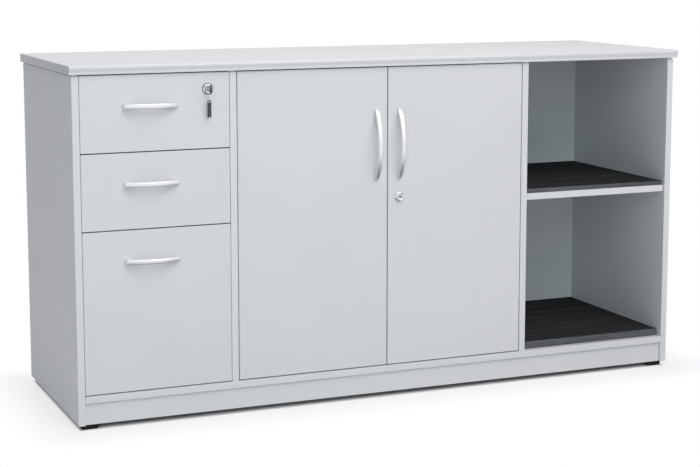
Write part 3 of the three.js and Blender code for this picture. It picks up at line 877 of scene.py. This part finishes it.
class CREDENZA_OT_drawer_lock(bpy.types.Operator):
    """Build the lock of the top drawer with its key, wire link and spare key"""

    bl_idname = "credenza.drawer_lock"
    bl_label = "Build drawer lock"

    def execute(self, context):
        fittings = context.scene.credenza_fittings
        chrome = polished_chrome(fittings)
        place, lift, rear = add_barrel("drawer_lock", "top_drawer_front", "top_drawer", chrome,
                                       GROOVE_DEPTH, stepped=True)
        # Painted shade: dark rings in the step near the bezel's rim and on the floor of the groove round
        # the plug.
        shade = keyway_shade(fittings)
        rim = extent("drawer_lock_barrel").x / 2 - RIM_INSET
        add_shade_ring("drawer_lock_rim_shade", rim - RIM_WIDTH, rim, RIM_FLOOR, "top_drawer", shade, place)
        floor = lift - GROOVE_DEPTH
        add_shade_ring("drawer_lock_groove_shade", GROOVE_INNER, GROOVE_OUTER, floor, "top_drawer", shade, place)

        plug = bmesh.new()
        add_plug(plug, lift - 0.4 * MM, rear, slot_outline(2.1 * MM, 4.4 * MM), place)
        tail = 3 * MM
        head = 4.6 * MM
        tail_end = place.translation.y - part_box("drawer_lock_plug")[1].y
        head_start = tail_end + 2 * MM
        profile = [(tail, rear), (tail, head_start), (head, head_start), (5 * MM, tail_end + 1.6 * MM),
                   (head, tail_end)]
        add_turned(plug, profile, place)
        add_piece("drawer_lock_core", plug, chrome, "drawer_lock", ["drawer_lock_plug"])
        # Painted shade: a dark ring on the floor of the keyway, round the key's shank.
        round_shank = 1.8 * MM
        floor = lift - KEYWAY_FLOOR
        add_shade_ring("drawer_lock_keyway_shade", round_shank, KEYWAY_REACH, floor, "drawer_lock", shade, place)

        shell = dark_shell(fittings)
        self.build_key(place, lift, chrome, shell)
        self.build_hanging_key(chrome, shell, dark_shell(fittings, "dark_key_blade", lightness=3.6))
        dress(["drawer_lock_cam"], brushed_nickel(fittings))
        return {"FINISHED"}

    def build_key(self, place, lift, chrome, shell):
        """Key in the lock: a dark flat bow with a hole, on a round plated shank."""
        low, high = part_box("drawer_key")
        front = place.translation.y - low.y
        neck_length = 9 * MM
        bow_half = (front - lift - neck_length) / 2
        bow_place = place @ basis((0, 0, 1), (0, 1, 0), (-1, 0, 0), (0, 0, front - bow_half))
        half_height = (high.z - low.z) / 2
        half_thickness = 1 * MM
        outline = ellipse(bow_half, half_height, 56)
        hole = ellipse(2.4 * MM, 2.4 * MM, 28)
        bow = bmesh.new()
        add_plate(bow, outline, [hole], -half_thickness, half_thickness, KEY_ROUNDING, bow_place)
        add_piece("key_bow", bow, shell, "drawer_lock", ["drawer_key"])
        shank = 1.75 * MM
        neck = front - 2 * bow_half
        rear = place.translation.y - high.y
        stem = bmesh.new()
        add_turned(stem, [(0.9 * MM, neck + 1.2 * MM), (shank, neck + 0.6 * MM), (shank, rear + 0.5 * MM),
                          (shank - 0.5 * MM, rear)], place, sides=32)
        add_piece("key_shank", stem, chrome, "drawer_lock", ["drawer_key"])

    def build_hanging_key(self, chrome, shell, steel):
        """Wire link over the key's neck, and the spare key hanging in it."""
        low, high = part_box("key_ring")
        centre = (low + high) / 2
        wire = 0.5 * MM
        half_height = (high.z - low.z) / 2 - wire
        half_width = 4.5 * MM
        turn = math.radians(45)
        across = Vector((math.cos(turn), math.sin(turn), 0))
        through = across.cross(Vector((0, 0, 1)))
        straight = half_height - half_width
        path = [*arc((0, straight), half_width, 0, 180, 18), *arc((0, -straight), half_width, 180, 360, 18)]
        section = ellipse(1, 1, 12)
        rings = []
        for u, v in path:
            level = math.copysign(straight, v)
            outward = (across * u + Vector((0, 0, v - level))).normalized()
            point = centre + across * u + Vector((0, 0, v))
            rings.append([point + wire * (outward * out + through * side) for out, side in section])
        link = bmesh.new()
        add_rings(link, rings, closed=True)
        add_piece("key_link", link, chrome, "spare_keys", ["key_ring"])

        low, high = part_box("spare_key")
        half = (high.x - low.x) / 2
        depth = (high.y - low.y) / 2
        eye = high.z - half
        notch = 5 * MM
        hang = on_face((low.x + high.x) / 2, (low.y + high.y) / 2, 0)
        hole = [(u, v + eye - 0.5 * MM) for u, v in teardrop(2.1 * MM, 4.0 * MM)]
        margin = 3 * MM
        slot_high = eye - half - margin
        slot_low = low.z + notch + margin
        slot_middle = (slot_high + slot_low) / 2
        slot = [(u, v + slot_middle) for u, v in slot_outline(0.8 * MM, (slot_high - slot_low) / 2)]
        outline = [*arc((0, eye), half, 0, 180, 24), (-half, low.z), (0, low.z + notch), (half, low.z)]
        case = bmesh.new()
        add_plate(case, outline, [hole, slot], -depth, depth, KEY_ROUNDING, hang)
        add_piece("spare_key_case", case, shell, "spare_keys", ["spare_key"])
        sunk = depth - 0.3 * MM
        blade = bmesh.new()
        add_rings(blade, [[hang @ Vector((u, v, level)) for u, v in slot] for level in (-sunk, sunk)])
        add_piece("spare_key_blade", blade, steel, "spare_keys", ["spare_key"])


class CREDENZA_OT_door_lock(bpy.types.Operator):
    """Build the cam lock of the right door"""

    bl_idname = "credenza.door_lock"
    bl_label = "Build door lock"

    def execute(self, context):
        fittings = context.scene.credenza_fittings
        chrome = polished_chrome(fittings)
        place, lift, rear = add_barrel("door_lock", "right_door", "right_door", chrome, SEAM_DEPTH)
        origin = place.translation

        plug = bmesh.new()
        add_plug(plug, lift - 0.2 * MM, rear, cross_outline(5.0 * MM, 0.6 * MM), place)
        low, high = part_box("door_lock_plug")
        cam_rear = origin.y - high.y
        downwards = place @ Matrix.Rotation(math.radians(-90), 4, "Z")
        cam = cam_outline(origin.z - low.z, PLUG_RADIUS)
        add_plate(plug, cam, (), cam_rear, rear - 0.3 * MM, 0.3 * MM, downwards)
        add_piece("door_lock_core", plug, chrome, "door_lock", ["door_lock_plug"])

        # Painted shade: a dark disc behind the cross-shaped keyway.
        floor = bmesh.new()
        profile = [(KEYWAY_REACH, lift - 3.3 * MM), (KEYWAY_REACH, lift - KEYWAY_FLOOR)]
        add_turned(floor, profile, place, sides=40)
        add_piece("door_lock_keyway_shade", floor, keyway_shade(fittings), "door_lock")
        return {"FINISHED"}


# Hinges, drawer boxes and feet


def add_screw(shape, place):
    """Pan head with a cross recess, standing on local Z = 0."""
    radius = 4.0 * MM
    lift = 1.2 * MM
    recess_floor = 0.3 * MM
    sides = 28
    recess = cross_outline(2.4 * MM, 0.55 * MM)
    add_plate(shape, ellipse(radius, radius, sides), [recess], recess_floor, lift, 0.3 * MM, place)
    add_turned(shape, [(radius, 0), (radius, recess_floor)], place, sides)


class CREDENZA_OT_hinges(bpy.types.Operator):
    """Finish the cup hinges and add their screw wings and screws"""

    bl_idname = "credenza.hinges"
    bl_label = "Finish hinges"

    def execute(self, context):
        fittings = context.scene.credenza_fittings
        nickel = brushed_nickel(fittings)
        chrome = polished_chrome(fittings)
        for side in SIDES:
            for level in LEVELS:
                name = f"{side}_{level}_hinge"
                dress([f"{name}_cup", f"{name}_arm"], nickel)
                self.add_wings(name, f"{side}_door", nickel)
                self.add_plate_screws(name, 1 if side == "left" else -1, chrome)
        return {"FINISHED"}

    def add_wings(self, name, body, nickel):
        """Wings of the cup's flange above and below it, each with a screw."""
        low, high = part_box(f"{name}_cup")
        centre = (low + high) / 2
        behind = basis((-1, 0, 0), (0, 0, 1), (0, 1, 0), (centre.x, high.y, centre.z))
        reach = 31 * MM
        root = 15 * MM
        screw = 24 * MM
        half = 7.5 * MM
        surface = -0.1 * MM
        thickness = 0.8 * MM
        shape = bmesh.new()
        for sign in (1, -1):
            tongue = [*arc((0, reach - half), half, 0, 180, 16), (-half, root), (half, root)]
            outline = [(u, sign * v) for u, v in tongue]
            add_plate(shape, outline, (), surface - thickness, surface, 0.2 * MM, behind)
            add_screw(shape, behind @ Matrix.Translation((0, sign * screw, surface)))
        add_piece(f"{name}_wings", shape, nickel, body)

    def add_plate_screws(self, name, inward, chrome):
        """Two screws through the mounting plate, into the wall of the cupboard."""
        low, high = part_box(f"{name}_arm")
        wall = low.x if inward > 0 else high.x
        plate = 2.4 * MM
        shape = bmesh.new()
        for from_rear in (10 * MM, 30 * MM):
            origin = (wall + inward * plate, high.y - from_rear, (low.z + high.z) / 2)
            add_screw(shape, basis((0, inward, 0), (0, 0, 1), (inward, 0, 0), origin))
        add_piece(f"{name}_screws", shape, chrome, "carcass")


class CREDENZA_OT_steelwork(bpy.types.Operator):
    """Finish the drawer sides and runners and round their sharp edges"""

    bl_idname = "credenza.steelwork"
    bl_label = "Finish drawer boxes"

    def execute(self, context):
        fittings = context.scene.credenza_fittings
        parts = ("side", "runner")
        boxes = [f"{drawer}_{side}_{part}" for drawer in DRAWERS for side in SIDES for part in parts]
        dress(boxes, grey_epoxy(fittings))
        for node in boxes:
            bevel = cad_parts[node].modifiers.new("soft_edges", "BEVEL")
            bevel.width = fittings.pressed_edge
            bevel.segments = BEVEL_STEPS
            bevel.limit_method = "ANGLE"
            bevel.angle_limit = SHARP_ANGLE
        return {"FINISHED"}


class CREDENZA_OT_feet(bpy.types.Operator):
    """Build the moulded glides"""

    bl_idname = "credenza.feet"
    bl_label = "Build feet"

    def execute(self, context):
        fittings = context.scene.credenza_fittings
        plastic = moulded_plastic(fittings)
        for end in ("front", "rear"):
            for side in SIDES:
                self.add_glide(f"glide_{end}_{side}", f"foot_{end}_{side}", plastic)
        return {"FINISHED"}

    def add_glide(self, name, node, plastic):
        """Oblong glide with slanting ends and a chamfered tread."""
        low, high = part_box(node)
        centre = (low + high) / 2
        half_x = (high.x - low.x) / 2
        half_y = (high.y - low.y) / 2
        corner = 1.5 * MM
        rows_in_mm = [(0.0, 4.4, 1.0), (0.4, 3.7, 0.4), (1.0, 3.3, 0.1), (9.4, 0.3, 0.1), (10.0, 0.7, 0.5)]
        rings = []
        for level, end_inset, side_inset in rows_in_mm:
            outline = rounded_rectangle(half_x - end_inset * MM, half_y - side_inset * MM, corner)
            rings.append([(centre.x + u, centre.y + v, low.z + level * MM) for u, v in outline])
        shape = bmesh.new()
        add_rings(shape, rings)
        add_piece(name, shape, plastic, "carcass", [node])


# Studio

LIGHT_AIM = (0, 0, 0.4)


def pale_floor(studio):
    """White floor with its full lit shadow under the piece; round the piece a painted white glow pales that
    shadow, and further out the glow alone gives plain white.
    """
    tree = material_tree("studio_floor")
    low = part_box("left_side_panel")[0]
    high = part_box("right_side_panel")[1]
    past_x = abs(tree.along("X")) - high.x
    past_y = abs(tree.along("Y") - (low.y + high.y) / 2) - (high.y - low.y) / 2
    away = (past_x.larger(0) ** 2 + past_y.larger(0) ** 2) ** 0.5
    outside = past_x.larger(past_y).rise(-studio.shadow_rim, 0)
    mottle = tree.noise(2.0, 2)
    lit = tree.shader(
        Base_Color=tree.shades(mottle, studio.floor, 0.995, 1.005),
        Roughness=0.65,
        Specular_IOR_Level=0.2,
    )
    # Painted light: a white glow, no lamp, mixed in by distance from the piece for rays that show or mirror
    # the floor.
    white = tree.node("ShaderNodeEmission", {"Color": (1, 1, 1, 1), "Strength": 1.0})
    lifted = studio.shadow_lift + (1 - studio.shadow_lift) * away.rise(0.0, studio.shadow_reach)
    share = outside * lifted * tree.light_path()
    blended = tree.node("ShaderNodeMixShader", {0: share, 1: lit, 2: white})
    tree.node("ShaderNodeOutputMaterial", {"Surface": blended})
    return tree.owner


def dark_cloth():
    """Black woven cloth of the card that only reflections show."""
    tree = material_tree("studio_cloth")
    weave = tree.noise(400, 2)
    return tree.surface(
        Base_Color=tree.mix(weave, (0.010, 0.012, 0.013, 1), (0.022, 0.025, 0.027, 1)),
        Roughness=0.9,
        Specular_IOR_Level=0.1,
    )


def add_sheet(name, half, far, near, level, material):
    """Level sheet of the studio, between two values of Y."""
    corners = [(-half, far, level), (half, far, level), (half, near, level), (-half, near, level)]
    shape = bmesh.new()
    shape.faces.new([shape.verts.new(corner) for corner in corners])
    sheet = add_object(name, to_mesh(name, shape, material))
    return sheet


def add_softbox(name, place, width, height, strength, tint=(1, 1, 1)):
    """Rectangular area light turned towards the middle of the piece."""
    light = bpy.data.lights.new(name, "AREA")
    light.shape = "RECTANGLE"
    light.size = width
    light.size_y = height
    light.energy = strength
    light.color = tint
    lamp = add_object(name, light)
    lamp.location = place
    lamp.rotation_euler = (Vector(LIGHT_AIM) - Vector(place)).to_track_quat("-Z", "Y").to_euler()
    lamp.visible_camera = False
    return lamp


class CREDENZA_OT_studio(bpy.types.Operator):
    """Set the camera, the floor, the soft lights and the white surroundings"""

    bl_idname = "credenza.studio"
    bl_label = "Set up studio"

    def execute(self, context):
        scene = context.scene
        studio = scene.credenza_studio
        self.add_camera(scene, studio)
        self.add_floor(studio)
        self.add_front_card(studio)
        self.light_world(scene, studio)
        add_softbox("key_softbox", (0.8, -3.2, 3.9), 3.6, 2.9, studio.key_power, studio.key_tint)
        fill = add_softbox("fill_softbox", (-1.2, -4.2, 1.8), 3.6, 3.0, studio.fill_power, studio.fill_tint)
        fill.visible_glossy = False
        add_softbox("top_softbox", (-0.4, 0.5, 3.4), 4.2, 3.0, studio.top_power)
        add_softbox("rear_softbox", (0.45, 4.0, 0.38), 2.1, 0.7, studio.rear_power)
        scene.view_settings.view_transform = "Standard"
        return {"FINISHED"}

    def add_camera(self, scene, studio):
        lens = bpy.data.cameras.new("photo_camera")
        lens.sensor_width = 36
        lens.lens = studio.focal_length
        lens.shift_y = studio.frame_shift
        camera = add_object("photo_camera", lens)
        camera.location = studio.camera_place
        camera.rotation_euler = (math.pi / 2 - studio.camera_tilt, 0, -studio.camera_turn)
        scene.camera = camera

    def add_floor(self, studio):
        half = 9.0
        level = -0.2 * MM
        add_sheet("studio_floor", half, -half, half, level, pale_floor(studio))

    def add_front_card(self, studio):
        """Dark card on the floor before the fronts, seen only in reflections."""
        overhang = 0.3
        clearance = 0.02
        near = cad_low.y - clearance
        far = near - studio.card_reach
        level = 2 * MM
        card = add_sheet("front_card", cad_high.x + overhang, far, near, level, dark_cloth())
        for ray in ("camera", "diffuse", "transmission", "shadow"):
            setattr(card, f"visible_{ray}", False)

    def light_world(self, scene, studio):
        """Even light all round, and plain white wherever the surroundings are seen or mirrored."""
        world = bpy.data.worlds.new("studio_world")
        scene.world = world
        tree = NodeTree(world)
        tone = tree.mix(tree.light_path(), opaque(studio.ambient_tint, studio.ambient), (1, 1, 1, 1))
        light = tree.node("ShaderNodeBackground", {"Color": tone, "Strength": 1.0})
        tree.node("ShaderNodeOutputWorld", {"Surface": light})


# Panel and registration

STEPS = (
    CREDENZA_OT_boards,
    CREDENZA_OT_top,
    CREDENZA_OT_handles,
    CREDENZA_OT_drawer_lock,
    CREDENZA_OT_door_lock,
    CREDENZA_OT_hinges,
    CREDENZA_OT_steelwork,
    CREDENZA_OT_feet,
    CREDENZA_OT_studio,
)
SETTINGS = {
    "credenza_boards": BoardSettings,
    "credenza_handles": HandleSettings,
    "credenza_fittings": FittingSettings,
    "credenza_studio": StudioSettings,
}


class CREDENZA_PT_sidebar(bpy.types.Panel):
    """Settings and steps of the credenza"""

    bl_idname = "CREDENZA_PT_sidebar"
    bl_label = "Office credenza"
    bl_space_type = "VIEW_3D"
    bl_region_type = "UI"
    bl_category = "Credenza"

    def draw(self, context):
        for holder, group in SETTINGS.items():
            box = self.layout.box()
            box.label(text=group.__doc__)
            for name in group.__annotations__:
                box.prop(getattr(context.scene, holder), name)
        for step in STEPS:
            self.layout.operator(step.bl_idname)


def register():
    for group in SETTINGS.values():
        bpy.utils.register_class(group)
    for holder, group in SETTINGS.items():
        setattr(bpy.types.Scene, holder, PointerProperty(type=group))
    for step in STEPS:
        bpy.utils.register_class(step)
    bpy.utils.register_class(CREDENZA_PT_sidebar)


def unregister():
    bpy.utils.unregister_class(CREDENZA_PT_sidebar)
    for step in reversed(STEPS):
        bpy.utils.unregister_class(step)
    for holder in SETTINGS:
        delattr(bpy.types.Scene, holder)
    for group in SETTINGS.values():
        bpy.utils.unregister_class(group)


def main():
    register()
    bpy.ops.credenza.boards()
    bpy.ops.credenza.top()
    bpy.ops.credenza.handles()
    bpy.ops.credenza.drawer_lock()
    bpy.ops.credenza.door_lock()
    bpy.ops.credenza.hinges()
    bpy.ops.credenza.steelwork()
    bpy.ops.credenza.feet()
    bpy.ops.credenza.studio()


if __name__ == "__main__":
    main()
